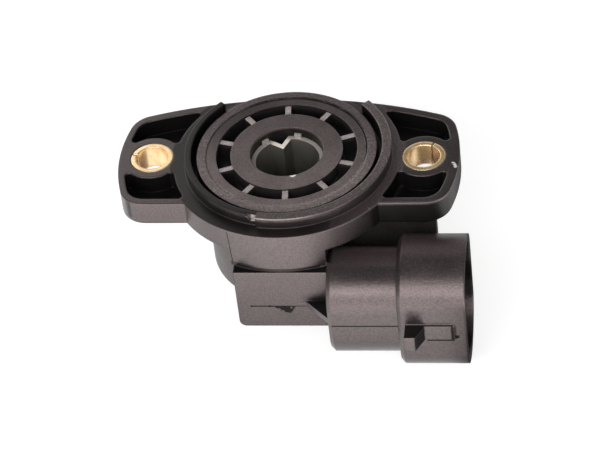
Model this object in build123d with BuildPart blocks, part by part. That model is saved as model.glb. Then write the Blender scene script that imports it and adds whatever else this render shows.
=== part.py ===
"""Throttle position sensor: flange, side connector and a drive socket that turns in a spoked cover."""
import os
from math import acos, cos, degrees, hypot, isclose, radians, sin, sqrt

from build123d import *

os.makedirs("parts", exist_ok=True)

# Running fits and seats
RUN_GAP = 0.05
SEAT_GAP = 0.03
AXIAL_GAP = 0.1
PRINT_GAP_ANGLE = 0.2

# Depth to which a form that joins another runs into it
SINK = 1.0

# Mounting flange, top face at z = 0
HOLE_SPACING = 46.0
FLANGE_T = 4.3
FLANGE_MARGIN = 2.15
EAR_NEAR = 11.57
EAR_SHIFT = 0.2
EAR_MARGIN = 5.8
EAR_CORNER_R = 4.5
FAR_LIP = 0.38
FAR_EDGE_R = 77.0
EAR_RIM = 1.3
POCKET_FLOOR = 1.0
POCKET_CORNER_R = 0.7
BOSS_R = 5.0
BOSS_LAP = 1.2

# Brass sleeves in the two ears
SLEEVE_R = 3.6
SLEEVE_BORE_R = 2.75
SLEEVE_SLIT = 0.25
SLIT_ANGLE_LEFT = 165.0
SLIT_ANGLE_RIGHT = 65.0

# Rings on the mounting face
COVER_R = 13.6
RING_W = 1.58
RING_TOP = 1.35
GROOVE_W = 0.92
GROOVE_FLOOR = -1.2
SPIGOT_TOP = 2.08
SPIGOT_LEFT_W = 1.1
SPIGOT_RIGHT_W = 1.6
SPIGOT_LEFT_END = 135.8
SPIGOT_STEP_ANGLE = -101.5
SPIGOT_RIGHT_END = 42.7
NOTCH_W = 1.9
NOTCH_DEPTH = 0.35
NOTCH_FLOOR = 0.9

# Body behind the flange
COVER_LEDGE = 1.0
COVER_SEAT = -2.2
BODY_WALL = 1.85
BODY_BACK = -20.0
BACK_WALL = 1.9

# Terminal box in front of the body
BLOCK_LEFT = -8.4
BOX_LEFT = -7.9
BOX_RIGHT = 7.65
BOX_PROUD = 0.2
BOX_TOP = -7.7
BOX_EDGE_R = 1.2

# Connector, axis along +X
PLUG_Y = -18.0
PLUG_Z = -15.65
PARTING_RISE = 0.2
NECK_W = 13.6
NECK_H = 18.3
NECK_FLAT = 0.6
SHROUD_X = 19.4
SHROUD_LEN = 11.25
SHROUD_W = 16.25
SHROUD_ARCH = 0.8
SHROUD_STRAIGHT = 2.6
SHROUD_CORNER_R = 4.5
SHROUD_WALL = 1.3
SHROUD_FLOOR = 1.6
PLUG_EDGE = 0.7
LATCH_W = 3.1
LATCH_LIFT = 0.1
LATCH_RISE = 3.0
LATCH_START = 1.25
LATCH_FLAT = 1.75
LATCH_LEN = 3.1
RAIL_RISE = 0.35
RAIL_LEN = 5.15
GUSSET_REACH = 4.0
GUSSET_T = 1.2
WEB_T = 2.0
WEB_SET_BACK = 0.7
WEB_RIGHT = 25.4
WEB_DEPTH = 7.0

# Bearing cover
HUB_TOP = 1.25
HUB_BORE_R = 6.2
HUB_WALL = 3.28
HUB_BOTTOM = -6.0
COVER_RING_W = 1.7
CORE_FLOOR = -1.4
SPOKE_COUNT = 10
SPOKE_W = 1.0
SPOKE_DROP = 0.35
SPOKE_ANGLE = -86.0
SEAL_W = 1.8
SEAL_H = 1.6

# Rotor with the heart-shaped drive socket
RIM_Z = -0.7
SOCKET_WALL = 0.75
SOCKET_FLOOR = -11.0
KEY_ANGLE = 109.0
KEY_HALF_ANGLE = 15.0
KEY_DEPTH = 1.99
KEY_BACK_FLOOR = -4.0
LUG_RISE = 0.75
LUG_T = 0.5
LUG_SPAN = 11.5
LUG_OFFSET_LEFT = 25.5
LUG_OFFSET_RIGHT = -31.3
WASHER_T = 0.5
WASHER_W = 2.6
CORE_W = 2.4
DISC_GAP = 0.3
DISC_TOP = -12.0
DISC_T = 2.0
TRAVEL = 105.0
STOP_ANGLE = 180.0
STOP_SPAN = 20.0
STOP_GAP = 0.4
STOP_LUG_GAP = 0.4
STOP_RIB_H = 1.3
STOP_RIB_T = 3.0
PIVOT_R = 2.0
PIVOT_LEN = 1.7
PIVOT_BOSS_R = 3.2

# Resistance element
BOARD_T = 0.8
BOARD_GAP = 0.1
PRINT_T = 0.08
RES_R = 8.1
TRACK_PITCH = 2.2
TRACK_W = 1.3
TRACK_START = -10.0
TRACK_OVERRUN = 12.0
PAD_Y = -9.9
PAD_W = 2.2
LEAD_W = 0.8

# Wiper under the rotor disc
WIPER_T = 0.2
WIPER_W = 1.0
WIPER_PLATE_Y = -6.2
WIPER_BEND_Y = -3.4
WIPER_LIFT = 0.02

# Terminals
BLADE_T = 0.8
BLADE_W = 2.8
BLADE_END = 28.6
BLADE_PITCH = 5.0
BLADE_TIP = 0.5
SHANK_W = 1.4
LEG_T = 0.5
LEG_PITCH = 4.5
LEG_END_Y = -8.8
LOW_RISER_X = 9.2

# Levels and stations that follow from the sizes above
ring_r = COVER_R + RING_W
spigot_in_r = ring_r + GROOVE_W
spigot_left_r = spigot_in_r + SPIGOT_LEFT_W
spigot_right_r = spigot_in_r + SPIGOT_RIGHT_W
notch_r = spigot_left_r - NOTCH_DEPTH
flange_r = spigot_right_r + FLANGE_MARGIN
far_edge_y = ring_r - FAR_LIP
box_front = -flange_r - BOX_PROUD
cavity_r = COVER_R - COVER_LEDGE
body_r = cavity_r + BODY_WALL
board_r = cavity_r - BOARD_GAP
coll_r = RES_R - TRACK_PITCH
stop_r = cavity_r - STOP_LUG_GAP
stop_rib_r = cavity_r - STOP_RIB_H
disc_r = stop_rib_r - DISC_GAP
hub_r = HUB_BORE_R + HUB_WALL
core_out_r = COVER_R - COVER_RING_W
seal_r = HUB_BORE_R + SEAL_W
washer_r = HUB_BORE_R + WASHER_W
core_r = HUB_BORE_R + CORE_W
journal_r = HUB_BORE_R - RUN_GAP
key_tip_r = journal_r - KEY_DEPTH
parting_z = PLUG_Z + PARTING_RISE
cavity_floor = BODY_BACK + BACK_WALL
board_top = cavity_floor + BOARD_T
print_top = board_top + PRINT_T
leg_top = print_top + LEG_T
shroud_end = SHROUD_X + SHROUD_LEN
shroud_floor = SHROUD_X + SHROUD_FLOOR
shroud_front = PLUG_Y - SHROUD_W / 2
socket_r = journal_r - SOCKET_WALL
disc_bottom = DISC_TOP - DISC_T
stop_free = TRAVEL + STOP_SPAN + 2 * STOP_GAP
plug_plane = Plane(origin=(0, PLUG_Y, PLUG_Z), x_dir=(0, 1, 0), z_dir=(1, 0, 0))
far_center = far_edge_y - FAR_EDGE_R
ear_end_r = HOLE_SPACING / 2 + EAR_MARGIN
pocket_inner_r = HOLE_SPACING / 2 - BOSS_R + BOSS_LAP
neck_r = NECK_W / 2 - NECK_FLAT
shroud_arch_r = SHROUD_W / 2 + SHROUD_ARCH
track_end = TRAVEL + TRACK_OVERRUN


def polar(radius, angle):
    """Point in the flange plane at a radius and an angle in degrees."""
    return radius * cos(radians(angle)), radius * sin(radians(angle))


def meets_boss_or_disc(corner):
    """Whether a corner of an ear pocket lies on a sleeve boss or on the round disc."""
    to_boss = hypot(abs(corner.X) - HOLE_SPACING / 2, corner.Y)
    to_axis = hypot(corner.X, corner.Y)
    return isclose(to_boss, BOSS_R, abs_tol=1e-4) or isclose(to_axis, pocket_inner_r, abs_tol=1e-4)


# Plane across the spigot at the notch beside its step
notch_angle = SPIGOT_STEP_ANGLE - degrees(NOTCH_W / 2 / spigot_left_r)
notch_plane = Plane(
    origin=(*polar(notch_r, notch_angle), 0),
    x_dir=(*polar(1, notch_angle + 90), 0),
    z_dir=(*polar(1, notch_angle), 0),
)

# Sector behind the axis that the spigot leaves open
with BuildSketch() as spigot_gap:
    with BuildLine():
        Polyline(
            (0, 0),
            polar(2 * flange_r, SPIGOT_RIGHT_END),
            polar(2 * flange_r, 90),
            polar(2 * flange_r, SPIGOT_LEFT_END),
            close=True,
        )
    make_face()

# Outline of the two ears, and of the round flange between them
with BuildSketch() as ears:
    with Locations((EAR_SHIFT, 0)):
        Circle(ear_end_r)
    with Locations((EAR_SHIFT, ear_end_r - EAR_NEAR)):
        Rectangle(2 * ear_end_r, 2 * ear_end_r, mode=Mode.INTERSECT)
    with Locations((0, far_center)):
        Circle(FAR_EDGE_R, mode=Mode.INTERSECT)
    fillet(ears.vertices(), EAR_CORNER_R)

with BuildSketch() as disc_edge:
    Circle(flange_r)
    with Locations((0, far_center)):
        Circle(FAR_EDGE_R, mode=Mode.INTERSECT)

with BuildSketch() as ear_pockets:
    Circle(ear_end_r - EAR_RIM)
    with Locations((0, ear_end_r - EAR_NEAR)):
        Rectangle(2 * ear_end_r, 2 * (ear_end_r - EAR_RIM), mode=Mode.INTERSECT)
    with Locations((0, far_center)):
        Circle(FAR_EDGE_R - EAR_RIM, mode=Mode.INTERSECT)
    fillet(ear_pockets.vertices(), EAR_CORNER_R - EAR_RIM)
    Circle(pocket_inner_r, mode=Mode.SUBTRACT)
    with Locations((-HOLE_SPACING / 2, 0), (HOLE_SPACING / 2, 0)):
        Circle(BOSS_R, mode=Mode.SUBTRACT)
    fillet(ear_pockets.vertices().filter_by(meets_boss_or_disc), POCKET_CORNER_R)

# Heart-shaped section of the drive socket and the groove behind its key
half_key = radians(KEY_HALF_ANGLE)
key_back = ((0, key_tip_r), (journal_r * sin(half_key), journal_r * cos(half_key)))
key_rise = key_back[1][1] - key_back[0][1]
key_run = key_back[1][0]
key_slope = key_rise / key_run
key_shift = SOCKET_WALL * sqrt(1 + key_slope**2)
key_out_x = 2 * key_run
heart_plane = Plane(origin=(0, 0, 0), x_dir=(*polar(1, KEY_ANGLE - 90), 0), z_dir=(0, 0, 1))

with BuildSketch() as key_groove:
    with BuildLine():
        Polyline(
            (0, key_tip_r),
            (key_out_x, key_tip_r + key_slope * key_out_x),
            (-key_out_x, key_tip_r + key_slope * key_out_x),
            close=True,
        )
    make_face()

with BuildSketch() as heart:
    Circle(socket_r)
    with BuildLine():
        Polyline(
            (0, key_tip_r - key_shift),
            (key_out_x, key_tip_r - key_shift + key_slope * key_out_x),
            (-key_out_x, key_tip_r - key_shift + key_slope * key_out_x),
            close=True,
        )
    make_face(mode=Mode.SUBTRACT)

# Three terminals: blade in the connector, shank through the neck, leg onto the element
leg_x = {"supply": -LEG_PITCH, "signal": 0.0, "ground": LEG_PITCH}
blade_z = {"supply": PLUG_Z + BLADE_PITCH, "signal": PLUG_Z, "ground": PLUG_Z - BLADE_PITCH}
upright = (Align.MIN, Align.CENTER, Align.CENTER)
blade_len = BLADE_END - shroud_floor
leg_len = LEG_END_Y - PLUG_Y + BLADE_T / 2


with BuildPart() as terminal_supply:
    with Locations((shroud_floor, PLUG_Y, blade_z["supply"])):
        Box(blade_len, BLADE_T, BLADE_W, align=upright)
    chamfer(terminal_supply.faces().sort_by(Axis.X)[-1].edges().filter_by(Axis.Y), BLADE_TIP)
    with Locations((leg_x["supply"] - SHANK_W / 2, PLUG_Y, blade_z["supply"])):
        Box(shroud_floor - leg_x["supply"] + SHANK_W / 2, BLADE_T, SHANK_W, align=upright)
    with Locations((leg_x["supply"], PLUG_Y, print_top)):
        Box(SHANK_W, BLADE_T, blade_z["supply"] - print_top, align=(Align.CENTER, Align.CENTER, Align.MIN))
    with Locations((leg_x["supply"], PLUG_Y - BLADE_T / 2, print_top)):
        Box(SHANK_W, leg_len, LEG_T, align=(Align.CENTER, Align.MIN, Align.MIN))
    terminal_supply.part.label = "terminal_supply"
    export_step(terminal_supply.part, "parts/terminal_supply.step")

with BuildPart() as terminal_signal:
    with Locations((shroud_floor, PLUG_Y, blade_z["signal"])):
        Box(blade_len, BLADE_T, BLADE_W, align=upright)
    chamfer(terminal_signal.faces().sort_by(Axis.X)[-1].edges().filter_by(Axis.Y), BLADE_TIP)
    with Locations((leg_x["signal"] - SHANK_W / 2, PLUG_Y, blade_z["signal"])):
        Box(shroud_floor - leg_x["signal"] + SHANK_W / 2, BLADE_T, SHANK_W, align=upright)
    with Locations((leg_x["signal"], PLUG_Y, print_top)):
        Box(SHANK_W, BLADE_T, blade_z["signal"] - print_top, align=(Align.CENTER, Align.CENTER, Align.MIN))
    with Locations((leg_x["signal"], PLUG_Y - BLADE_T / 2, print_top)):
        Box(SHANK_W, leg_len, LEG_T, align=(Align.CENTER, Align.MIN, Align.MIN))
    terminal_signal.part.label = "terminal_signal"
    export_step(terminal_signal.part, "parts/terminal_signal.step")

with BuildPart() as terminal_ground:
    with Locations((shroud_floor, PLUG_Y, blade_z["ground"])):
        Box(blade_len, BLADE_T, BLADE_W, align=upright)
    chamfer(terminal_ground.faces().sort_by(Axis.X)[-1].edges().filter_by(Axis.Y), BLADE_TIP)
    with Locations((LOW_RISER_X, PLUG_Y, blade_z["ground"])):
        Box(shroud_floor - LOW_RISER_X, BLADE_T, SHANK_W, align=upright)
    with Locations((LOW_RISER_X, PLUG_Y, leg_top)):
        Box(SHANK_W, BLADE_T, leg_top - blade_z["ground"], align=(Align.MIN, Align.CENTER, Align.MAX))
    with Locations((leg_x["ground"], PLUG_Y, print_top)):
        step_len = LOW_RISER_X + SHANK_W - leg_x["ground"]
        Box(step_len, BLADE_T, LEG_T, align=(Align.MIN, Align.CENTER, Align.MIN))
    with Locations((leg_x["ground"], PLUG_Y - BLADE_T / 2, print_top)):
        Box(SHANK_W, leg_len, LEG_T, align=(Align.CENTER, Align.MIN, Align.MIN))
    terminal_ground.part.label = "terminal_ground"
    export_step(terminal_ground.part, "parts/terminal_ground.step")

# Sleeves rolled from strip, with the butt slit left in the wall
slit_align = (Align.MIN, Align.CENTER, Align.MIN)

with BuildPart() as sleeve_left:
    with BuildSketch(Plane.XY.offset(-FLANGE_T)):
        with Locations((-HOLE_SPACING / 2, 0)):
            Circle(SLEEVE_R)
            Circle(SLEEVE_BORE_R, mode=Mode.SUBTRACT)
    extrude(amount=FLANGE_T)
    with Locations(Location((-HOLE_SPACING / 2, 0, -FLANGE_T), (0, 0, SLIT_ANGLE_LEFT))):
        Box(SLEEVE_R + SINK, SLEEVE_SLIT, FLANGE_T, align=slit_align, mode=Mode.SUBTRACT)
    sleeve_left.part.label = "sleeve_left"
    export_step(sleeve_left.part, "parts/sleeve_left.step")

with BuildPart() as sleeve_right:
    with BuildSketch(Plane.XY.offset(-FLANGE_T)):
        with Locations((HOLE_SPACING / 2, 0)):
            Circle(SLEEVE_R)
            Circle(SLEEVE_BORE_R, mode=Mode.SUBTRACT)
    extrude(amount=FLANGE_T)
    with Locations(Location((HOLE_SPACING / 2, 0, -FLANGE_T), (0, 0, SLIT_ANGLE_RIGHT))):
        Box(SLEEVE_R + SINK, SLEEVE_SLIT, FLANGE_T, align=slit_align, mode=Mode.SUBTRACT)
    sleeve_right.part.label = "sleeve_right"
    export_step(sleeve_right.part, "parts/sleeve_right.step")

# Section of the connector shroud: upright sides between two arches
with BuildSketch() as shroud_section:
    with Locations((0, -SHROUD_STRAIGHT), (0, SHROUD_STRAIGHT)):
        Circle(shroud_arch_r)
    Rectangle(2 * shroud_arch_r, 2 * SHROUD_STRAIGHT)
    Rectangle(SHROUD_W, 2 * (shroud_arch_r + SHROUD_STRAIGHT), mode=Mode.INTERSECT)
    fillet(shroud_section.vertices(), SHROUD_CORNER_R)

# Outer shapes of the connector neck and shroud, each with a broken left edge
with BuildPart() as neck_shape:
    with BuildSketch(plug_plane.offset(BOX_RIGHT)):
        RectangleRounded(NECK_W, NECK_H, neck_r)
    extrude(amount=SHROUD_X - BOX_RIGHT)
    chamfer(neck_shape.faces().sort_by(Axis.X)[0].edges(), PLUG_EDGE)

with BuildPart() as shroud_shape:
    with BuildSketch(plug_plane.offset(SHROUD_X)):
        add(shroud_section.sketch)
    extrude(amount=SHROUD_LEN)
    chamfer(shroud_shape.faces().sort_by(Axis.X)[0].edges(), PLUG_EDGE)

# Housing: flange, body, terminal box, neck and connector in one moulding
with BuildPart() as housing:
    # Flange plate and body
    with BuildSketch(Plane.XY.offset(-FLANGE_T)):
        add(ears.sketch)
        add(disc_edge.sketch)
    extrude(amount=FLANGE_T)
    with BuildSketch(Plane.XY.offset(BODY_BACK)):
        Circle(body_r)
    extrude(amount=-BODY_BACK)
    with BuildSketch(Plane.XY.offset(BOX_TOP)):
        Circle(flange_r)
        with Locations((BLOCK_LEFT, 0)):
            Rectangle(
                BOX_RIGHT - BLOCK_LEFT, flange_r, align=(Align.MIN, Align.MAX), mode=Mode.INTERSECT
            )
    extrude(amount=-FLANGE_T - BOX_TOP)

    # Terminal box
    with BuildSketch(Plane.XZ.offset(-box_front)):
        with Locations((BOX_LEFT, BODY_BACK)):
            Rectangle(BOX_RIGHT - BOX_LEFT, BOX_TOP - BODY_BACK, align=(Align.MIN, Align.MIN))
        fillet(vertices().group_by(Axis.X)[0].sort_by(Axis.Y)[0], BOX_EDGE_R)
    extrude(amount=box_front)

    # Neck and connector shroud, and the web that ties them to the right ear
    add(neck_shape.part)
    add(shroud_shape.part)
    with Locations((body_r / 2, -EAR_NEAR + WEB_SET_BACK, -FLANGE_T)):
        Box(WEB_RIGHT - body_r / 2, WEB_T, WEB_DEPTH, align=(Align.MIN, Align.MIN, Align.MAX))

    # Latch nose and its guide rail on the shroud, on the moulding line
    with BuildSketch(Plane.XY.offset(parting_z + LATCH_LIFT - LATCH_W / 2)):
        nose_x = SHROUD_X + LATCH_START
        with BuildLine():
            Polyline(
                (nose_x, shroud_front + SINK),
                (nose_x, shroud_front - LATCH_RISE),
                (nose_x + LATCH_FLAT, shroud_front - LATCH_RISE),
                (nose_x + LATCH_LEN, shroud_front - RAIL_RISE),
                (nose_x + LATCH_LEN + RAIL_LEN - 2 * RAIL_RISE, shroud_front - RAIL_RISE),
                (nose_x + LATCH_LEN + RAIL_LEN, shroud_front),
                (nose_x + LATCH_LEN + RAIL_LEN, shroud_front + SINK),
                close=True,
            )
        make_face()
    extrude(amount=LATCH_W)

    # Corner web between the box and the neck
    with BuildSketch(Plane.XY.offset(parting_z)):
        with BuildLine():
            Polyline(
                (BOX_RIGHT + SINK, box_front + SINK),
                (BOX_RIGHT - GUSSET_REACH - SINK, box_front + SINK),
                (BOX_RIGHT - GUSSET_REACH, box_front),
                (BOX_RIGHT, box_front - GUSSET_REACH),
                (BOX_RIGHT + SINK, box_front - GUSSET_REACH),
                close=True,
            )
        make_face()
    extrude(amount=GUSSET_T)

    # Ring round the cover, and the locating spigot outside it, thicker on the right and open behind
    with BuildSketch():
        Circle(ring_r)
    extrude(amount=RING_TOP)
    with BuildSketch(Plane.XZ):
        with Locations((spigot_in_r, -SINK)):
            Rectangle(SPIGOT_LEFT_W, SPIGOT_TOP + SINK, align=(Align.MIN, Align.MIN))
    revolve(axis=Axis.Z)
    with BuildSketch(Plane.XZ.rotated((0, 0, SPIGOT_STEP_ANGLE))):
        with Locations((spigot_in_r, -SINK)):
            Rectangle(SPIGOT_RIGHT_W, SPIGOT_TOP + SINK, align=(Align.MIN, Align.MIN))
    revolve(axis=Axis.Z, revolution_arc=90 - SPIGOT_STEP_ANGLE)
    with BuildSketch(Plane.XY.offset(-FLANGE_T)):
        add(spigot_gap.sketch)
        Circle(ring_r, mode=Mode.SUBTRACT)
        add(ears.sketch, mode=Mode.SUBTRACT)
    extrude(amount=FLANGE_T + SPIGOT_TOP, mode=Mode.SUBTRACT)
    with BuildSketch():
        add(spigot_gap.sketch)
        Circle(ring_r, mode=Mode.SUBTRACT)
    extrude(amount=SPIGOT_TOP, mode=Mode.SUBTRACT)
    with BuildSketch(notch_plane):
        with BuildLine():
            Polyline(
                (-NOTCH_W / 2, SPIGOT_TOP + SINK),
                (-NOTCH_W / 2, SPIGOT_TOP),
                (0, NOTCH_FLOOR),
                (NOTCH_W / 2, SPIGOT_TOP),
                (NOTCH_W / 2, SPIGOT_TOP + SINK),
                close=True,
            )
        make_face()
    extrude(amount=spigot_right_r - notch_r + SINK, mode=Mode.SUBTRACT)

    # Groove, ear pockets and sleeve seats
    with BuildSketch(Plane.XY.offset(GROOVE_FLOOR)):
        Circle(spigot_in_r)
        Circle(ring_r, mode=Mode.SUBTRACT)
        add(spigot_gap.sketch, mode=Mode.SUBTRACT)
    extrude(amount=SPIGOT_TOP - GROOVE_FLOOR, mode=Mode.SUBTRACT)
    with BuildSketch(Plane.XY.offset(POCKET_FLOOR - FLANGE_T)):
        add(ear_pockets.sketch)
    extrude(amount=FLANGE_T, mode=Mode.SUBTRACT)
    with Locations((-HOLE_SPACING / 2, 0, 0), (HOLE_SPACING / 2, 0, 0)):
        Hole(SLEEVE_R + SEAT_GAP, depth=FLANGE_T)

    # Seat for the cover and chamber for the rotor, with its stop rib and rear pivot
    with BuildSketch(Plane.XY.offset(COVER_SEAT)):
        Circle(COVER_R)
    extrude(amount=RING_TOP - COVER_SEAT, mode=Mode.SUBTRACT)
    with BuildSketch(Plane.XY.offset(cavity_floor)):
        Circle(cavity_r)
    extrude(amount=COVER_SEAT - cavity_floor, mode=Mode.SUBTRACT)
    with BuildSketch(Plane.XZ.rotated((0, 0, STOP_ANGLE + TRAVEL + STOP_SPAN / 2 + STOP_GAP))):
        with Locations((stop_rib_r, disc_bottom - (STOP_RIB_T - DISC_T) / 2)):
            Rectangle(cavity_r - stop_rib_r + SINK, STOP_RIB_T, align=(Align.MIN, Align.MIN))
    revolve(axis=Axis.Z, revolution_arc=360 - stop_free)
    with BuildSketch(Plane.XY.offset(cavity_floor)):
        Circle(PIVOT_BOSS_R)
    extrude(amount=disc_bottom - AXIAL_GAP - cavity_floor)
    with BuildSketch(Plane.XY.offset(disc_bottom - AXIAL_GAP)):
        Circle(PIVOT_R)
    extrude(amount=PIVOT_LEN)

    # Plug socket and the beds of the moulded-in terminals
    with BuildSketch(plug_plane.offset(shroud_floor)):
        add(shroud_section.sketch)
        offset(amount=-SHROUD_WALL, mode=Mode.REPLACE)
    extrude(amount=shroud_end - shroud_floor, mode=Mode.SUBTRACT)
    add(terminal_supply.part, mode=Mode.SUBTRACT)
    add(terminal_signal.part, mode=Mode.SUBTRACT)
    add(terminal_ground.part, mode=Mode.SUBTRACT)
    housing.part.label = "housing"
    export_step(housing.part, "parts/housing.step")

# Bearing cover: ring, hub and the spokes between them
with BuildPart() as bearing_cover:
    with BuildSketch(Plane.XY.offset(COVER_SEAT)):
        Circle(COVER_R - RUN_GAP)
    extrude(amount=HUB_TOP - COVER_SEAT)
    with BuildSketch(Plane.XY.offset(CORE_FLOOR)):
        Circle(core_out_r)
    extrude(amount=HUB_TOP - CORE_FLOOR, mode=Mode.SUBTRACT)
    with BuildSketch(Plane.XY.offset(HUB_BOTTOM)):
        Circle(hub_r)
    extrude(amount=HUB_TOP - HUB_BOTTOM)
    with BuildSketch(Plane.XY.offset(CORE_FLOOR)):
        with PolarLocations((hub_r + core_out_r) / 2, SPOKE_COUNT, start_angle=SPOKE_ANGLE):
            Rectangle(core_out_r - hub_r + SINK, SPOKE_W)
    extrude(amount=HUB_TOP - SPOKE_DROP - CORE_FLOOR)
    with BuildSketch(Plane.XY.offset(HUB_BOTTOM)):
        Circle(HUB_BORE_R)
    extrude(amount=HUB_TOP - HUB_BOTTOM, mode=Mode.SUBTRACT)
    with BuildSketch(Plane.XY.offset(HUB_BOTTOM)):
        Circle(seal_r)
    extrude(amount=SEAL_H, mode=Mode.SUBTRACT)
    bearing_cover.part.label = "bearing_cover"
    export_step(bearing_cover.part, "parts/bearing_cover.step")

# Ring seal in the hub, and the washer that keeps it in place
with BuildPart() as rotor_seal:
    with BuildSketch(Plane.XY.offset(HUB_BOTTOM)):
        Circle(seal_r - SEAT_GAP)
        Circle(journal_r + SEAT_GAP, mode=Mode.SUBTRACT)
    extrude(amount=SEAL_H)
    rotor_seal.part.label = "rotor_seal"
    export_step(rotor_seal.part, "parts/rotor_seal.step")

with BuildPart() as thrust_washer:
    with BuildSketch(Plane.XY.offset(HUB_BOTTOM - WASHER_T)):
        Circle(washer_r)
        Circle(HUB_BORE_R + RUN_GAP, mode=Mode.SUBTRACT)
    extrude(amount=WASHER_T)
    thrust_washer.part.label = "thrust_washer"
    export_step(thrust_washer.part, "parts/thrust_washer.step")

# Rotor: journal with the heart-shaped socket, core, disc and stop lug
core_top = HUB_BOTTOM - WASHER_T - RUN_GAP
with BuildPart() as rotor:
    with BuildSketch(Plane.XY.offset(disc_bottom)):
        Circle(journal_r)
    extrude(amount=RIM_Z - disc_bottom)
    with BuildSketch(Plane.XY.offset(disc_bottom)):
        Circle(core_r)
    extrude(amount=core_top - disc_bottom)
    with BuildSketch(Plane.XY.offset(disc_bottom)):
        Circle(disc_r)
    extrude(amount=DISC_T)
    with BuildSketch(Plane.XZ.rotated((0, 0, STOP_ANGLE - STOP_SPAN / 2))):
        with Locations((core_r, disc_bottom)):
            Rectangle(stop_r - core_r, DISC_T, align=(Align.MIN, Align.MIN))
    revolve(axis=Axis.Z, revolution_arc=STOP_SPAN)
    with BuildSketch(heart_plane.offset(SOCKET_FLOOR)):
        add(heart.sketch)
    extrude(amount=RIM_Z - SOCKET_FLOOR, mode=Mode.SUBTRACT)
    with BuildSketch(heart_plane.offset(KEY_BACK_FLOOR)):
        add(key_groove.sketch)
    extrude(amount=RIM_Z - KEY_BACK_FLOOR, mode=Mode.SUBTRACT)
    for side in (LUG_OFFSET_LEFT, LUG_OFFSET_RIGHT):
        with BuildSketch(Plane.XZ.rotated((0, 0, KEY_ANGLE + side - LUG_SPAN / 2))):
            with Locations((journal_r - LUG_T, RIM_Z)):
                Rectangle(LUG_T, LUG_RISE, align=(Align.MIN, Align.MIN))
        revolve(axis=Axis.Z, revolution_arc=LUG_SPAN)
    with BuildSketch(Plane.XY.offset(disc_bottom)):
        Circle(PIVOT_R + RUN_GAP)
    extrude(amount=PIVOT_LEN, mode=Mode.SUBTRACT)
    rotor.part.label = "rotor"
    export_step(rotor.part, "parts/rotor.step")

# Resistance element: board, printed tracks and silver leads
ground_angle = -degrees(acos(LEG_PITCH / RES_R))
supply_angle = 180 - ground_angle
lead_len = LEAD_W / 2 - PAD_Y - sqrt(RES_R**2 - LEG_PITCH**2)

with BuildPart() as element_board:
    with BuildSketch(Plane.XY.offset(cavity_floor)):
        Circle(board_r)
        Circle(PIVOT_BOSS_R + RUN_GAP, mode=Mode.SUBTRACT)
    extrude(amount=BOARD_T)
    element_board.part.label = "element_board"
    export_step(element_board.part, "parts/element_board.step")

with BuildPart() as resistor_track:
    with BuildSketch(Plane.XZ.rotated((0, 0, TRACK_START))):
        with Locations((RES_R, board_top)):
            Rectangle(TRACK_W, PRINT_T, align=(Align.CENTER, Align.MIN))
    revolve(axis=Axis.Z, revolution_arc=track_end - TRACK_START)
    resistor_track.part.label = "resistor_track"
    export_step(resistor_track.part, "parts/resistor_track.step")

with BuildPart() as collector_track:
    with BuildSketch(Plane.XZ.rotated((0, 0, TRACK_START))):
        with Locations((coll_r, board_top)):
            Rectangle(TRACK_W, PRINT_T, align=(Align.CENTER, Align.MIN))
    revolve(axis=Axis.Z, revolution_arc=track_end - TRACK_START)
    collector_track.part.label = "collector_track"
    export_step(collector_track.part, "parts/collector_track.step")

with BuildPart() as silver_leads:
    with BuildSketch(Plane.XY.offset(board_top)):
        with Locations(*[(x, PAD_Y) for x in leg_x.values()]):
            Rectangle(PAD_W, PAD_W)
    extrude(amount=PRINT_T)
    # Ground lead from the start of the resistor track
    with BuildSketch(Plane.XZ.rotated((0, 0, ground_angle))):
        with Locations((RES_R, board_top)):
            Rectangle(LEAD_W, PRINT_T, align=(Align.CENTER, Align.MIN))
    revolve(axis=Axis.Z, revolution_arc=TRACK_START - ground_angle - PRINT_GAP_ANGLE)
    # Signal lead from the start of the collector track
    with BuildSketch(Plane.XZ.rotated((0, 0, -90))):
        with Locations((coll_r, board_top)):
            Rectangle(LEAD_W, PRINT_T, align=(Align.CENTER, Align.MIN))
    revolve(axis=Axis.Z, revolution_arc=TRACK_START + 90 - PRINT_GAP_ANGLE)
    with BuildSketch(Plane.XY.offset(board_top)):
        with Locations((0, PAD_Y)):
            Rectangle(LEAD_W, -PAD_Y - coll_r, align=(Align.CENTER, Align.MIN))
        with Locations((leg_x["ground"], PAD_Y)):
            Rectangle(LEAD_W, lead_len, align=(Align.CENTER, Align.MIN))
    extrude(amount=PRINT_T)
    # Supply lead round the back from the end of the resistor track
    with BuildSketch(Plane.XZ.rotated((0, 0, track_end + PRINT_GAP_ANGLE))):
        with Locations((RES_R, board_top)):
            Rectangle(LEAD_W, PRINT_T, align=(Align.CENTER, Align.MIN))
    revolve(axis=Axis.Z, revolution_arc=supply_angle - track_end - PRINT_GAP_ANGLE)
    with BuildSketch(Plane.XY.offset(board_top)):
        with Locations((leg_x["supply"], PAD_Y)):
            Rectangle(LEAD_W, lead_len, align=(Align.CENTER, Align.MIN))
    extrude(amount=PRINT_T)
    silver_leads.part.label = "silver_leads"
    export_step(silver_leads.part, "parts/silver_leads.step")

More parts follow.
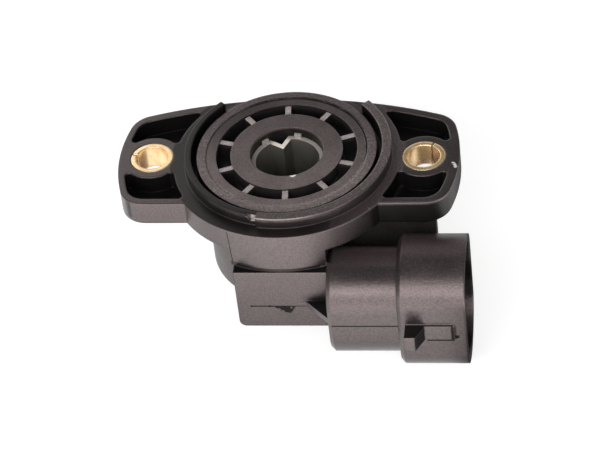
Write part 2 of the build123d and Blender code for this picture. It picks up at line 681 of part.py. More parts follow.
# Two-finger wiper that bridges the tracks
finger_drop = disc_bottom - WIPER_T - print_top - WIPER_LIFT
finger_end = WIPER_T * 2
with BuildPart() as wiper:
    with BuildSketch(Plane.XY.offset(disc_bottom - WIPER_T)):
        with Locations((coll_r - WIPER_W / 2, WIPER_PLATE_Y)):
            Rectangle(
                TRACK_PITCH + WIPER_W, WIPER_BEND_Y - WIPER_PLATE_Y, align=(Align.MIN, Align.MIN)
            )
    extrude(amount=WIPER_T)
    for radius in (coll_r, RES_R):
        with BuildSketch(Plane.YZ.offset(radius - WIPER_W / 2)):
            with BuildLine():
                Polyline(
                    (WIPER_BEND_Y - WIPER_T, disc_bottom),
                    (WIPER_BEND_Y - WIPER_T, disc_bottom - WIPER_T),
                    (0, disc_bottom - WIPER_T - finger_drop),
                    (finger_end, disc_bottom - WIPER_T - finger_drop),
                    (finger_end, disc_bottom - finger_drop),
                    (0, disc_bottom - finger_drop),
                    (WIPER_BEND_Y + WIPER_T, disc_bottom - WIPER_T),
                    (WIPER_BEND_Y + WIPER_T, disc_bottom),
                    close=True,
                )
            make_face()
        extrude(amount=WIPER_W)
    wiper.part.label = "wiper"
    export_step(wiper.part, "parts/wiper.step")
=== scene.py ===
import math

import bpy
from mathutils import Matrix, Vector


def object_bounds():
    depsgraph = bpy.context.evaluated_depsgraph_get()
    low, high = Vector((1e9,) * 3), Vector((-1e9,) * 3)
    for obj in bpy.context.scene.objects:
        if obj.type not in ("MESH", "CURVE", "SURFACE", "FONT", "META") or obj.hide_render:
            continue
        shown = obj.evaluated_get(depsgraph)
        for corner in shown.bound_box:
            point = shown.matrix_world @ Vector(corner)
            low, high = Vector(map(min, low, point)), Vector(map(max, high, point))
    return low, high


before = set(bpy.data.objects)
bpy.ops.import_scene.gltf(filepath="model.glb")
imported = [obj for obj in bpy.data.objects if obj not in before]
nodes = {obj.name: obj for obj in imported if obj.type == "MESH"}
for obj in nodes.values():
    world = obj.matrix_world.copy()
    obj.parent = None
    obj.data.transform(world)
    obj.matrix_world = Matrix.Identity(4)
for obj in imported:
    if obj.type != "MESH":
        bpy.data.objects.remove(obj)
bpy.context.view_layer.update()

MM = 0.001


class Tree:
    """Small helper that adds and links shader nodes in one material or world."""

    def __init__(self, owner):
        owner.use_nodes = True
        self.t = owner.node_tree
        self.t.nodes.clear()

    def add(self, kind, **settings):
        node = self.t.nodes.new(kind)
        for key, value in settings.items():
            setattr(node, key, value)
        return node

    def put(self, node, socket, value):
        target = node.inputs[socket]
        if hasattr(value, "is_output"):
            self.t.links.new(value, target)
        elif value is not None:
            target.default_value = value

    def math(self, op, a, b=None, c=None):
        node = self.add("ShaderNodeMath", operation=op)
        for i, value in enumerate((a, b, c)):
            self.put(node, i, value)
        return node.outputs[0]

    def times(self, *values):
        total = values[0]
        for value in values[1:]:
            total = self.math("MULTIPLY", total, value)
        return total

    def plus(self, *values):
        total = values[0]
        for value in values[1:]:
            total = self.math("ADD", total, value)
        return total

    def most(self, *values):
        total = values[0]
        for value in values[1:]:
            total = self.math("MAXIMUM", total, value)
        return total

    def vector(self, op, a, b=None, scale=None):
        node = self.add("ShaderNodeVectorMath", operation=op)
        self.put(node, 0, a)
        if b is not None:
            self.put(node, 1, b)
        if scale is not None:
            self.put(node, "Scale", scale)
        return node

    def dot(self, a, b):
        return self.vector("DOT_PRODUCT", a, b).outputs["Value"]

    def ramp(self, value, lo, hi, out_lo=0.0, out_hi=1.0):
        node = self.add("ShaderNodeMapRange", interpolation_type="SMOOTHSTEP")
        self.put(node, "Value", value)
        for key, number in (("From Min", lo), ("From Max", hi), ("To Min", out_lo), ("To Max", out_hi)):
            node.inputs[key].default_value = number
        return node.outputs["Result"]

    def fall(self, value, lo, hi):
        """One below the first limit, nought above the second."""
        return self.ramp(value, lo, hi, 1.0, 0.0)

    def band(self, value, lo, hi, soft):
        """One between two limits, nought outside them."""
        return self.times(self.ramp(value, lo - soft, lo), self.fall(value, hi, hi + soft))

    def flip(self, value):
        return self.math("SUBTRACT", 1.0, value)

    def centred(self, noise, size):
        """Noise about nought, in the size given."""
        return self.times(self.math("SUBTRACT", noise, 0.5), size)

    def noise(self, vector, scale, detail=2.0, rough=0.5):
        node = self.add("ShaderNodeTexNoise")
        self.put(node, "Vector", vector)
        node.inputs["Scale"].default_value = scale
        node.inputs["Detail"].default_value = detail
        node.inputs["Roughness"].default_value = rough
        return node.outputs["Fac"]

    def mix(self, fac, a, b):
        node = self.add("ShaderNodeMix", data_type="RGBA", clamp_factor=False)
        self.put(node, 0, fac)
        self.put(node, 6, a)
        self.put(node, 7, b)
        return node.outputs[2]

    def millimetres(self):
        """Place on the object in millimetres, and its three parts."""
        place = self.add("ShaderNodeTexCoord").outputs["Object"]
        place = self.vector("SCALE", place, scale=1000.0).outputs[0]
        parts = self.add("ShaderNodeSeparateXYZ")
        self.put(parts, 0, place)
        return place, parts.outputs[0], parts.outputs[1], parts.outputs[2]

    def facing(self):
        """The three parts of the direction that the face looks in."""
        parts = self.add("ShaderNodeSeparateXYZ")
        self.put(parts, 0, self.add("ShaderNodeTexCoord").outputs["Normal"])
        return parts.outputs[0], parts.outputs[1], parts.outputs[2]

    def reach(self, x, y):
        """Distance from the rotor axis."""
        return self.math("SQRT", self.plus(self.times(x, x), self.times(y, y)))

    def bearing(self, x, y):
        """Angle about the rotor axis in degrees."""
        return self.times(self.math("ARCTAN2", y, x), 180.0 / math.pi)

    def spot(self, place, centre, radius, soft, wobble=None):
        """Small round mark at a place, with an uneven rim if a wobble is given."""
        gap = self.vector("DISTANCE", place, centre).outputs["Value"]
        if wobble is not None:
            gap = self.plus(gap, wobble)
        return self.fall(gap, radius, radius + soft)

    def edge(self, radius, lo=0.02, hi=0.3):
        """Mask of sharp edges, from the difference of a rounded normal and the true one."""
        true = self.add("ShaderNodeNewGeometry").outputs["Normal"]
        return self.ramp(self.flip(self.dot(self.rounded(radius), true)), lo, hi)

    def rounded(self, radius):
        node = self.add("ShaderNodeBevel", samples=8)
        node.inputs["Radius"].default_value = radius
        return node.outputs[0]

    def bump(self, height, strength, distance, normal=None):
        node = self.add("ShaderNodeBump")
        node.inputs["Strength"].default_value = strength
        node.inputs["Distance"].default_value = distance
        self.put(node, "Height", height)
        self.put(node, "Normal", normal)
        return node.outputs[0]

    def surface(self, shader):
        self.put(self.add("ShaderNodeOutputMaterial"), "Surface", shader.outputs[0])


# Warm cast of the reflections on the moulded parts, and the share of them left where marks paint shade and in
# cuts
SHEEN = (1.0, 0.81, 0.80)
PAINTED_SHADE_SHEEN_SHARE = 0.1
PLASTIC_IOR = 1.56

# Places on the part in millimetres and degrees
COVER_R = 13.6
STEP_ANGLE = -101.5
BOX_FRONT_Y = -20.05
BOX_RIGHT_X = 7.6
LEDGE_Z = -7.68
SEAM_Z = -15.42
PLUG_Y, PLUG_Z = -18.0, -15.65
MOUTH_HALF_Y, MOUTH_HALF_Z = 6.9, 10.25


def rgb(r, g, b):
    return (r, g, b, 1.0)


def plastic(name, dark, light, wear_and_highlight_colour, rough=(0.27, 0.40), grain=0.35, edge_mm=0.22, level=1.0, marks=None):
    """Moulded plastic: mottled colour, fine grain, and rounded edges that wear lighter; marks can add painted
    shade and painted highlights.
    """
    material = bpy.data.materials.new(name)
    t = Tree(material)
    place, x, y, z = t.millimetres()
    cloud = t.noise(place, 0.16, 4, 0.6)
    peel = t.noise(place, 0.9, 3, 0.5)
    fine = t.noise(place, 3.2, 3, 0.7)
    patchy = t.ramp(t.noise(place, 0.45, 4, 0.7), 0.42, 0.68)
    b = t.add("ShaderNodeBsdfPrincipled")
    colour = t.mix(t.ramp(cloud, 0.3, 0.7), rgb(*dark), rgb(*light))
    wear_and_painted_highlights = t.times(t.edge(edge_mm * MM), patchy, 0.5)
    height = t.times(fine, grain)
    gloss = t.mix(t.ramp(fine, 0.36, 0.64), rgb(*(c * 0.68 for c in SHEEN)), rgb(*SHEEN))
    # Marks add their own colours, painted shade and painted highlights; where they paint shade, and in cuts,
    # the reflections keep only a small share
    if marks:
        colour, wear_and_painted_highlights, height, painted_shade_and_cuts = marks(t, place, x, y, z, colour, wear_and_painted_highlights, height)
        gloss = t.mix(painted_shade_and_cuts, gloss, rgb(*(c * PAINTED_SHADE_SHEEN_SHARE for c in SHEEN)))
    t.put(b, "Specular Tint", gloss)
    b.inputs["IOR"].default_value = PLASTIC_IOR
    t.put(b, "Base Color", t.mix(wear_and_painted_highlights, colour, rgb(*wear_and_highlight_colour)))
    t.put(b, "Roughness", t.ramp(t.plus(t.times(cloud, 0.6), t.times(fine, 0.4)), 0.3, 0.7, *rough))
    b.inputs["Specular IOR Level"].default_value = level
    normal = t.bump(peel, 0.08, 0.06 * MM, t.rounded(edge_mm * MM))
    t.put(b, "Normal", t.bump(height, 1.0, 0.02 * MM, normal))
    t.surface(b)
    return material


def metal(name, dark, light, rough=(0.16, 0.34), streak=(1, 1, 1), edge_mm=0.1, bare=1.0):
    """Rolled or plated metal: drawn streaks, tarnish, bright edges, and a matt film on what is not bare."""
    material = bpy.data.materials.new(name)
    t = Tree(material)
    place = t.millimetres()[0]
    drawn = t.add("ShaderNodeMapping")
    t.put(drawn, "Vector", place)
    drawn.inputs["Scale"].default_value = streak
    lines = t.noise(drawn.outputs[0], 3.0, 3, 0.6)
    stain = t.noise(place, 0.5, 4, 0.6)
    bright = rgb(*(min(1.0, c * 1.1) for c in light))
    colour = t.mix(t.ramp(stain, 0.3, 0.7), rgb(*dark), rgb(*light))
    colour = t.mix(t.times(t.edge(edge_mm * MM), 0.5), colour, bright)
    b = t.add("ShaderNodeBsdfPrincipled")
    b.inputs["Metallic"].default_value = bare
    t.put(b, "Base Color", colour)
    t.put(b, "Roughness", t.ramp(t.plus(t.times(lines, 0.5), t.times(stain, 0.5)), 0.3, 0.7, *rough))
    t.put(b, "Normal", t.bump(lines, 0.25, 0.01 * MM, t.rounded(edge_mm * MM)))
    t.surface(b)
    return material


def housing_marks(t, place, x, y, z, colour, wear_and_painted_highlights, height):
    """Moulding lines, gate scar and the ring that the mating part rubs paler, with painted shade in recesses
    and corners, painted shadow lines, painted highlights and a painted sheen.
    """
    radius = t.reach(x, y)
    turn = t.bearing(x, y)
    east, north, rise = t.facing()
    top = t.ramp(rise, 0.55, 0.8)
    wall = t.flip(top)
    uneven = t.centred(t.noise(place, 2.5, 2, 0.6), 0.6)
    ragged = t.centred(t.noise(place, 2.6, 4, 0.8), 2.6)
    speck = t.noise(place, 3.0, 3, 0.7)
    dots = t.ramp(t.noise(place, 3.2, 1, 0.5), 0.58, 0.68)
    # Ring round the cover, which the mating part rubs paler, with painted shade darkening it towards the back
    # and the left; and the right spigot, a darker pale, rising from its front towards its right
    ring = t.times(t.band(radius, 13.5, 15.25, 0.05), t.ramp(z, 0.7, 1.0), top)
    shade = t.times(t.ramp(y, -12.0, 12.0, 0.86, 0.32), t.ramp(x, -15.0, 15.0, 0.66, 1.12))
    tone = t.mix(t.ramp(speck, 0.40, 0.62), rgb(0.075, 0.059, 0.058), rgb(0.185, 0.152, 0.148))
    tone = t.mix(shade, rgb(0, 0, 0), tone)
    colour = t.mix(ring, colour, tone)
    right = t.band(turn, STEP_ANGLE, 60.0, 0.5)
    spigot = t.times(t.band(radius, 15.9, 17.8, 0.05), t.ramp(z, 1.6, 1.8), top, right)
    spigot = t.times(spigot, t.ramp(turn, -80.0, 0.0, 0.26, 0.72), t.ramp(speck, 0.38, 0.62, 0.4, 1.5))
    colour = t.mix(spigot, colour, rgb(0.088, 0.072, 0.070))
    # Paler, flecked right part of the flange face, more so towards the right
    pale_flange_right = t.times(t.band(radius, 17.7, 19.9, 0.1), top, t.ramp(x, 6.0, 17.0), t.fall(z, 0.3, 0.6))
    colour = t.mix(t.times(pale_flange_right, t.ramp(speck, 0.38, 0.6, 0.3, 1.2)), colour, rgb(0.066, 0.055, 0.053))
    # Edge wear, mostly on the mounting side
    ear_edge = t.times(t.ramp(x, 11.0, 12.5), t.fall(y, -10.6, -10.3), t.ramp(z, -0.6, -0.3))
    exposed = t.most(t.ramp(z, -0.2, 0.6, 0.15, 1.0), ear_edge)
    wear_and_painted_highlights = t.times(wear_and_painted_highlights, exposed, t.ramp(radius, 15.3, 16.0, 1.0, 0.15))
    # Scratches on the left of the ring
    scratch = t.add("ShaderNodeMapping")
    t.put(scratch, "Vector", place)
    scratch.inputs["Rotation"].default_value = (0, 0, math.radians(-38))
    scratch.inputs["Scale"].default_value = (0.35, 2.6, 1.0)
    scored = t.ramp(t.noise(scratch.outputs[0], 1.0, 3, 0.6), 0.56, 0.66)
    scored = t.times(scored, ring, t.ramp(x, -15.5, -10.0, 0.55, 0.08))
    # Painted highlight along the outer edge of the right spigot, and a pale line of wear on the rim of the
    # cover seat
    near_lip = t.band(turn, STEP_ANGLE, -80.0, 14.0)
    far_lip = t.times(t.band(turn, 10.0, 46.0, 6.0), 0.8)
    lip = t.times(t.band(radius, 17.55, 17.8, 0.05), t.ramp(z, 1.85, 1.98))
    lip = t.times(lip, t.most(near_lip, far_lip))
    lip = t.times(lip, t.ramp(speck, 0.35, 0.6, 0.3, 1.0))
    # Painted highlight on the slanted end face of the right spigot at its step
    notch = t.times(t.band(turn, -104.7, -101.6, 0.2), t.band(radius, 16.8, 17.4, 0.05))
    notch = t.times(notch, t.band(z, 0.9, 1.95, 0.1))
    seat = t.times(t.band(radius, 13.5, 13.9, 0.06), t.ramp(z, 0.9, 1.2), t.ramp(speck, 0.4, 0.6))
    seat = t.times(seat, t.ramp(t.plus(t.times(x, 0.6), t.times(y, -1.0)), -4.0, 7.0))
    # Pale flecks on the ring, partly painted glints, more towards the front; fainter flecks on the right
    # spigot
    ring_dots = t.times(dots, ring, t.ramp(y, -8.0, 6.0, 0.75, 0.2))
    spigot_dots = t.times(dots, spigot, 0.7)
    pale = t.most(scored, lip, notch, t.times(seat, 0.75), ring_dots, spigot_dots)
    # Scuff on the end of the right ear, and flecks
    scuff = t.most(
        t.spot(place, (28.0, -1.75, 0.0), 0.15, 0.15, uneven),
        t.spot(place, (28.3, -2.2, 0.0), 0.22, 0.15, uneven),
        t.spot(place, (28.45, -2.75, -0.2), 0.25, 0.2, uneven),
    )
    flecks = t.most(
        t.spot(place, (10.9, -10.1, 1.3), 0.10, 0.10),
        t.spot(place, (9.6, -12.5, 1.3), 0.08, 0.08),
        t.spot(place, (14.8, -12.8, 0.0), 0.09, 0.09),
    )
    wear_and_painted_highlights = t.most(wear_and_painted_highlights, pale, flecks)
    # Painted sheen on the tops of the neck and shroud, where they face up or back
    plug_top = t.times(t.ramp(rise, 0.8, 0.95), t.ramp(north, -0.3, -0.05))
    plug_top = t.times(plug_top, t.ramp(x, 8.2, 8.8), t.band(y, -25.6, -11.3, 0.2))
    plug_top = t.times(plug_top, t.ramp(z, -20.0, -19.0), t.ramp(speck, 0.38, 0.62, 0.5, 0.9))
    colour = t.mix(plug_top, colour, rgb(0.058, 0.043, 0.044))
    # Moulding lines on the box and the neck, a painted shadow line under the latch rail, and a painted line
    # of shade on the flange rim where its front block ends on the left
    front = t.fall(y, -19.95, -19.75)
    line = t.band(z, -15.52, -15.31, 0.06)
    box_line = t.times(front, line, t.band(x, -5.7, 3.6, 0.1), t.ramp(x, 1.0, 2.4, 1.0, 0.55))
    neck_line = t.times(t.fall(y, -24.7, -24.5), line, t.band(x, 8.2, 19.6, 0.1))
    rail_shadow_line = t.times(t.fall(y, -25.9, -25.7), t.band(z, -17.45, -16.8, 0.05), t.band(x, 24.2, 28.6, 0.1))
    slant = t.plus(x, t.times(t.plus(z, 3.1), 0.06))
    rim_edge_shade_line = t.times(t.band(slant, -8.26, -8.16, 0.05), t.band(z, -7.6, -0.4, 0.2), t.fall(y, -17.2, -17.0))
    seam = t.most(box_line, neck_line, rail_shadow_line, rim_edge_shade_line)
    # Gate scar under the seam of the box: a ragged wedge, deepest right of its middle
    drop = t.math("MINIMUM", t.ramp(x, -1.9, 0.9, 0.25, 1.5), t.ramp(x, 0.8, 1.9, 1.6, 0.3))
    drop = t.plus(drop, t.times(ragged, 0.7))
    under = t.math("SUBTRACT", t.plus(z, -SEAM_Z), t.times(drop, -1.0))
    across = t.band(t.plus(x, t.times(ragged, 0.6)), -1.5, 1.75, 0.06)
    scar = t.times(front, across, t.ramp(under, -0.05, 0.05))
    gap = t.spot(place, (1.15, BOX_FRONT_Y, -15.72), 0.14, 0.12, t.times(ragged, 0.15))
    scar = t.times(scar, t.fall(z, SEAM_Z, -15.3), t.fall(gap, 0.0, 1.0))
    pit = t.most(
        t.spot(place, (-2.44, BOX_FRONT_Y, -15.4), 0.2, 0.1),
        t.spot(place, (-5.5, BOX_FRONT_Y, -15.4), 0.16, 0.1),
        t.spot(place, (29.1, -26.1, -16.6), 0.28, 0.25, uneven),
    )
    height = t.plus(height, t.times(seam, -2.0), t.times(scar, -2.5), t.times(pit, -4.0))
    # Painted shade in recesses, which also cuts their reflections: at the ears, the groove, the flange step,
    # the mouth, the left spigot top, the gap at the cover and the mouth's end face, which is also bumped
    # rough
    far = t.math("SUBTRACT", 14.0, t.times(x, x, 1 / 154))
    in_ears = t.times(t.fall(radius, 28.0, 28.3), t.ramp(y, -10.97, -10.77))
    in_ears = t.times(in_ears, t.ramp(t.math("SUBTRACT", far, y), 0.0, 0.2))
    ears = t.times(in_ears, t.band(z, -3.6, -0.35, 0.2), t.ramp(radius, 18.9, 19.1))
    groove = t.times(t.band(radius, 15.1, 16.15, 0.05), t.most(t.fall(z, 0.0, 0.8), wall))
    groove = t.times(groove, t.ramp(z, -1.5, -1.3), t.fall(north, 0.9, 0.97))
    step = t.times(t.band(radius, 17.1, 19.75, 0.1), t.band(z, -0.1, 1.2, 0.3))
    step = t.times(step, t.ramp(x, 4.0, 14.0, 0.7, 0.2))
    oval_y = t.math("POWER", t.times(t.plus(y, -PLUG_Y), 1 / MOUTH_HALF_Y), 2.0)
    oval_z = t.math("POWER", t.times(t.plus(z, -PLUG_Z), 1 / MOUTH_HALF_Z), 2.0)
    mouth = t.times(t.fall(t.plus(oval_y, oval_z), 0.98, 1.06), t.ramp(x, 20.5, 20.8))
    left_top = t.times(t.band(radius, 15.95, 17.35, 0.05), t.ramp(z, 1.6, 1.8), t.flip(right), 0.8)
    shut = t.times(t.band(radius, 13.45, 13.85, 0.06), t.ramp(z, -1.5, -1.0))
    shut = t.times(shut, t.ramp(t.plus(t.times(x, 0.6), y), 4.0, 9.0))
    end = t.times(t.ramp(east, 0.8, 0.95), t.ramp(x, 30.3, 30.5))
    height = t.plus(height, t.times(end, speck, 6.0))
    # Painted shade on the ledges over the box, gusset and latch, on the walls that close in on them, on the
    # side of the latch ramp and on the front of the right ear
    ledge = t.times(t.ramp(rise, 0.93, 0.98), t.fall(z, -7.4, -7.2))
    ledge = t.times(ledge, t.most(t.ramp(x, 7.7, 8.2, 1.0, 0.4), t.fall(y, -26.1, -25.9)))
    nook = t.times(t.band(z, LEDGE_Z, -7.2, 0.25), t.band(x, -11.0, 6.5, 0.1))
    nook = t.times(nook, t.fall(y, -13.0, -12.5), t.ramp(y, -20.03, -20.0), 0.8)
    left_nook = t.times(t.band(z, LEDGE_Z, -7.0, 0.5), t.band(x, -11.0, -5.5, 2.0))
    left_nook = t.times(left_nook, t.band(y, -20.0, -12.5, 0.03), 0.75)
    above = t.times(front, t.ramp(z, -14.7, -14.5), t.ramp(z, -14.2, -12.0, 1.1, 0.0))
    above = t.times(above, t.ramp(x, 2.4, 5.4), t.ramp(y, -20.5, -20.2), t.fall(x, BOX_RIGHT_X, 7.7))
    wear_and_painted_highlights = t.times(wear_and_painted_highlights, t.fall(above, 0.0, 1.0))
    ramp_side = t.times(t.ramp(east, 0.3, 0.5), t.fall(y, -26.4, -26.25), t.ramp(z, -18.6, -16.6, 0.3, 0.95))
    ear_front = t.times(t.fall(north, -0.5, -0.1), t.ramp(x, 12.5, 14.0))
    ear_front = t.times(ear_front, t.band(y, -12.4, -8.0, 1.2), t.band(z, -4.5, -0.6, 0.2))
    # Cuts and painted shadow lines are darkest, a little past the painted shade
    cuts = t.most(seam, pit, scar)
    recesses = t.most(ears, groove, step, mouth, left_top, shut, end)
    corners = t.most(ledge, nook, left_nook, above, ramp_side, ear_front)
    painted_shade_and_cuts = t.most(recesses, corners, t.times(cuts, 1.1))
    colour = t.mix(t.times(painted_shade_and_cuts, 0.8), colour, rgb(0.004, 0.0036, 0.0036))
    colour = t.mix(cuts, colour, rgb(0.001, 0.0007, 0.0007))
    colour = t.mix(scuff, colour, rgb(0.66, 0.63, 0.61))
    return colour, wear_and_painted_highlights, height, painted_shade_and_cuts


def cover_marks(t, place, x, y, z, colour, wear_and_painted_highlights, height):
    """Pale, slightly rough tops of the spokes, and painted shade in the cores between them, on the hub wall,
    in the bore and in the gap at the back right of the cover's edge.
    """
    radius = t.reach(x, y)
    top = t.ramp(t.facing()[2], 0.55, 0.8)
    wall = t.flip(top)
    speck = t.noise(place, 3.5, 3, 0.75)
    spokes = t.times(t.band(radius, 9.5, 11.88, 0.04), t.ramp(z, 0.6, 0.8), top)
    pale = t.mix(t.ramp(speck, 0.35, 0.65), rgb(0.22, 0.19, 0.185), rgb(0.44, 0.39, 0.38))
    cores = t.times(t.band(radius, 9.55, 12.0, 0.05), t.most(t.fall(z, 0.2, 0.8), t.times(wall, 0.85)))
    hub = t.times(t.band(radius, 9.3, 9.5, 0.05), wall, 0.92)
    bore = t.times(t.fall(radius, 6.3, 6.4), t.fall(z, 0.6, 1.1))
    shut = t.times(t.band(radius, 13.35, COVER_R, 0.06), t.ramp(t.plus(t.times(x, 0.6), y), 4.0, 9.0))
    painted_shade_and_cuts = t.most(cores, hub, bore, shut)
    # Painted shade: darker away from the near side, which wears paler, and at the far left of the outer rim
    shade = t.ramp(y, -11.0, 11.0, 1.0, 0.48)
    corner_gap = t.vector("DISTANCE", place, (-9.5, 8.5, 1.1)).outputs["Value"]
    corner = t.ramp(corner_gap, 3.0, 12.0, 0.7, 0.0)
    shade = t.times(shade, t.flip(t.times(corner, t.ramp(radius, 11.0, 11.8))))
    colour = t.mix(t.times(shade, t.ramp(speck, 0.38, 0.64, 0.72, 1.25)), rgb(0, 0, 0), colour)
    # Outer edge that wears paler on the near side, and a white spot at the bore's edge
    rim = t.times(t.band(radius, 13.25, COVER_R, 0.05), top, t.ramp(speck, 0.42, 0.6))
    rim = t.times(rim, t.ramp(t.plus(t.times(x, 0.6), t.times(y, -1.0)), -4.0, 7.0), 0.6)
    white_bore_spot = t.spot(place, (1.6, -5.9, 1.15), 0.42, 0.2, t.centred(speck, 0.8))
    colour = t.mix(spokes, colour, pale)
    colour = t.mix(painted_shade_and_cuts, colour, rgb(0.010, 0.009, 0.009))
    colour = t.mix(t.times(white_bore_spot, top), colour, rgb(0.85, 0.83, 0.80))
    wear_and_painted_highlights = t.times(t.most(wear_and_painted_highlights, rim), t.flip(painted_shade_and_cuts))
    return colour, wear_and_painted_highlights, t.plus(height, t.times(spokes, speck, 1.5)), painted_shade_and_cuts


def rotor_marks(t, place, x, y, z, colour, wear_and_painted_highlights, height):
    """Paler rim of the drive socket, a painted highlight, brightest on its key."""
    top = t.ramp(z, -0.85, -0.72)
    # Painted highlight, palest on the key
    key = t.spot(place, (-1.3, 3.7, -0.7), 1.3, 1.2)
    colour = t.mix(t.times(top, 0.85), colour, rgb(0.36, 0.325, 0.30))
    colour = t.mix(t.times(key, top), colour, rgb(0.85, 0.78, 0.70))
    return colour, wear_and_painted_highlights, height, 0.0


housing_mat = plastic(
    "housing_plastic", (0.0065, 0.0056, 0.0056), (0.011, 0.0095, 0.0094), (0.22, 0.19, 0.185),
    grain=2.2, edge_mm=0.42, marks=housing_marks,
)
cover_mat = plastic(
    "cover_plastic", (0.090, 0.071, 0.070), (0.128, 0.104, 0.102), (0.30, 0.27, 0.265),
    level=0.6, grain=1.2, marks=cover_marks,
)
rotor_mat = plastic(
    "rotor_plastic", (0.062, 0.060, 0.051), (0.085, 0.082, 0.070), (0.34, 0.32, 0.28),
    grain=0.3, edge_mm=0.14, level=0.5, rough=(0.4, 0.5), marks=rotor_marks,
)
brass_mat = metal(
    "sleeve_brass", (0.80, 0.54, 0.27), (0.95, 0.71, 0.43),
    rough=(0.15, 0.27), streak=(1, 1, 0.05), edge_mm=0.4, bare=0.75,
)
tin_mat = metal(
    "terminal_tin", (0.50, 0.49, 0.46), (0.64, 0.63, 0.60), rough=(0.24, 0.40), streak=(0.05, 1, 1),
)
bronze_mat = metal("wiper_bronze", (0.58, 0.38, 0.20), (0.75, 0.52, 0.30))
board_mat = plastic("board", (0.28, 0.23, 0.12), (0.38, 0.32, 0.18), (0.5, 0.45, 0.3), level=0.5)
carbon_mat = plastic(
    "carbon_print", (0.02, 0.02, 0.022), (0.035, 0.035, 0.04), (0.08, 0.08, 0.085), level=0.5,
)
silver_mat = metal("silver_print", (0.62, 0.62, 0.60), (0.78, 0.78, 0.76), rough=(0.35, 0.5))
seal_mat = plastic(
    "seal_rubber", (0.02, 0.02, 0.02), (0.03, 0.03, 0.03), (0.06, 0.06, 0.06), rough=(0.6, 0.75), level=0.5,
)
washer_mat = plastic(
    "washer_plastic", (0.62, 0.61, 0.57), (0.74, 0.73, 0.69), (0.8, 0.79, 0.76), level=0.5,
)

finish = {
    "housing": housing_mat,
    "bearing_cover": cover_mat,
    "rotor": rotor_mat,
    "sleeve_left": brass_mat,
    "sleeve_right": brass_mat,
    "terminal_supply": tin_mat,
    "terminal_signal": tin_mat,
    "terminal_ground": tin_mat,
    "element_board": board_mat,
    "resistor_track": carbon_mat,
    "collector_track": carbon_mat,
    "silver_leads": silver_mat,
    "wiper": bronze_mat,
    "rotor_seal": seal_mat,
    "thrust_washer": washer_mat,
}
for name, material in finish.items():
    data = nodes[name].data
    data.materials.clear()
    data.materials.append(material)

# Camera at the photo's angle
FOCAL_PX, DIST = 3000.0, 503.486 * MM
AZ, EL, ROLL = 0.17711, 0.74603, -0.12474
TX, TY = -2.14818 * MM, 13.19931 * MM
back = Vector((math.sin(AZ) * math.cos(EL), -math.cos(AZ) * math.cos(EL), math.sin(EL)))
right = Vector((math.cos(AZ), math.sin(AZ), 0))
up = back.cross(right)
cam_x = math.cos(ROLL) * right + math.sin(ROLL) * up
cam_y = -math.sin(ROLL) * right + math.cos(ROLL) * up
cam_data = bpy.data.cameras.new("camera")
cam_data.sensor_width = 36.0
cam_data.lens = FOCAL_PX * 36.0 / 600.0
cam_data.clip_start, cam_data.clip_end = 0.05, 20.0
cam = bpy.data.objects.new("camera", cam_data)
bpy.context.scene.collection.objects.link(cam)
place = -TX * cam_x - TY * cam_y + DIST * back
cam.matrix_world = Matrix((
    (cam_x.x, cam_y.x, back.x, place.x),
    (cam_x.y, cam_y.y, back.y, place.y),
    (cam_x.z, cam_y.z, back.z, place.z),
    (0, 0, 0, 1),
))
bpy.context.scene.camera = cam

# Studio: a broad soft light in front to the left, pale sides, dark overhead
PANEL_LEVEL = 3.3
WHITE = 1.0
world = bpy.data.worlds.new("studio")
bpy.context.scene.world = world
w = Tree(world)
direction = w.add("ShaderNodeTexCoord").outputs["Generated"]
ahead = w.dot(direction, (math.sin(AZ), -math.cos(AZ), 0.0))
aside = w.dot(direction, (math.cos(AZ), math.sin(AZ), 0.0))
high = w.dot(direction, (0.0, 0.0, 1.0))
angle = w.times(w.math("ARCTAN2", high, w.math("ABSOLUTE", ahead)), 180.0 / math.pi)
faces = w.ramp(ahead, -0.1, 0.5)
horizon = w.plus(0.8, w.times(faces, 1.4))
panel = w.times(w.band(angle, 25.0, 44.5, 7.0), w.ramp(aside, -0.05, 0.3, PANEL_LEVEL, 0.0))
panel = w.times(panel, w.ramp(aside, -0.95, -0.6), faces)
front = w.times(w.plus(horizon, panel), w.fall(angle, 50.0, 60.0), w.ramp(aside, 0.1, 0.5, 1.0, 0.45))
back_wall = w.times(w.ramp(angle, 8.0, 44.0, 0.8, 0.03), w.flip(faces))
overhead = w.ramp(high, 0.72, 0.9, 0.07, 0.30)
light = w.plus(w.times(front, faces), back_wall, overhead)
path = w.add("ShaderNodeLightPath")
strength = w.add("ShaderNodeMix", data_type="FLOAT")
w.put(strength, 0, path.outputs["Is Camera Ray"])
w.put(strength, 2, light)
strength.inputs[3].default_value = WHITE
bg = w.add("ShaderNodeBackground")
bg.inputs["Color"].default_value = rgb(1, 1, 1)
w.put(bg, "Strength", strength.outputs[0])
w.put(w.add("ShaderNodeOutputWorld"), "Surface", bg.outputs[0])
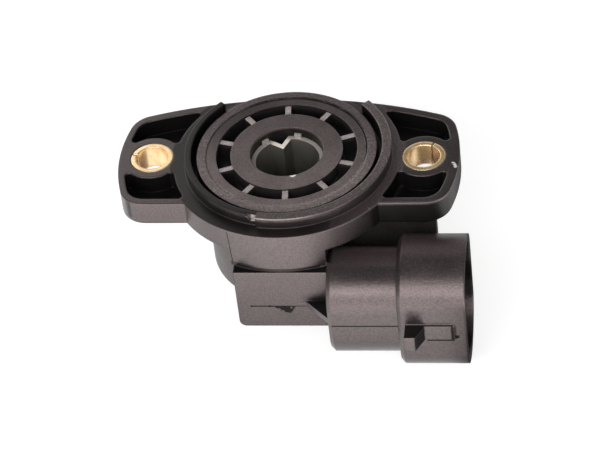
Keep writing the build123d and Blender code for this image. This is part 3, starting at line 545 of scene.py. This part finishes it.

# Pale floor under the lowest point of the connector: white to the camera; to other rays it glows as a light,
# brightest in front of the part, with a painted shadow of the part that darkens it close in front, behind and
# to its right
HALF = 4
FLOOR_GLOW = 0.68
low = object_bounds()[0].z
mesh = bpy.data.meshes.new("floor")
corners = [(-HALF, -HALF), (HALF, -HALF), (HALF, HALF), (-HALF, HALF)]
mesh.from_pydata([(x, y, low) for x, y in corners], [], [(0, 1, 2, 3)])
floor = bpy.data.objects.new("floor", mesh)
bpy.context.scene.collection.objects.link(floor)
floor_mat = bpy.data.materials.new("floor")
f = Tree(floor_mat)
place, x, y, z = f.millimetres()
ahead = f.ramp(y, -58.0, -24.0, 3.3, 1.25)
behind = f.most(f.ramp(y, -20.0, 10.0, 1.0, 0.6), f.ramp(x, -45.0, -30.0, 1.2, 0.0))
beside = f.most(f.ramp(x, 26.0, 32.0, 1.0, 0.1), f.ramp(x, 42.0, 58.0, 0.1, 2.0))
ends = f.times(f.ramp(x, -150.0, -70.0, 0.5, 1.0), f.ramp(x, 60.0, 110.0, 1.0, 0.5))
lit = f.times(ahead, behind, beside, ends)
glow = f.add("ShaderNodeEmission")
glow.inputs["Color"].default_value = rgb(1, 1, 1)
f.put(glow, "Strength", lit)
white = f.add("ShaderNodeEmission")
white.inputs["Color"].default_value = rgb(1, 1, 1)
white.inputs["Strength"].default_value = FLOOR_GLOW
matt = f.add("ShaderNodeBsdfDiffuse")
matt.inputs["Color"].default_value = rgb(0.5, 0.5, 0.5)
shaded = f.add("ShaderNodeAddShader")
f.put(shaded, 0, white.outputs[0])
f.put(shaded, 1, matt.outputs[0])
shown = f.add("ShaderNodeMixShader")
f.put(shown, 0, f.add("ShaderNodeLightPath").outputs["Is Camera Ray"])
f.put(shown, 1, glow.outputs[0])
f.put(shown, 2, shaded.outputs[0])
f.surface(shown)
mesh.materials.append(floor_mat)

# Weak lamp behind to the left
LAMP_W, LAMP_H = 0.16, 0.14
LAMP_LEVEL = 1.2
lamp_data = bpy.data.lights.new("lamp_back", "AREA")
lamp_data.shape = "RECTANGLE"
lamp_data.size, lamp_data.size_y = LAMP_W, LAMP_H
lamp_data.energy = LAMP_LEVEL * math.pi * LAMP_W * LAMP_H
lamp = bpy.data.objects.new("lamp_back", lamp_data)
bpy.context.scene.collection.objects.link(lamp)
lamp.location = Vector((-110, 105, 100)) * MM
lamp.rotation_euler = (Vector((-10, 0, 0)) * MM - lamp.location).to_track_quat("-Z", "Y").to_euler()

bpy.context.scene.view_settings.view_transform = "Standard"
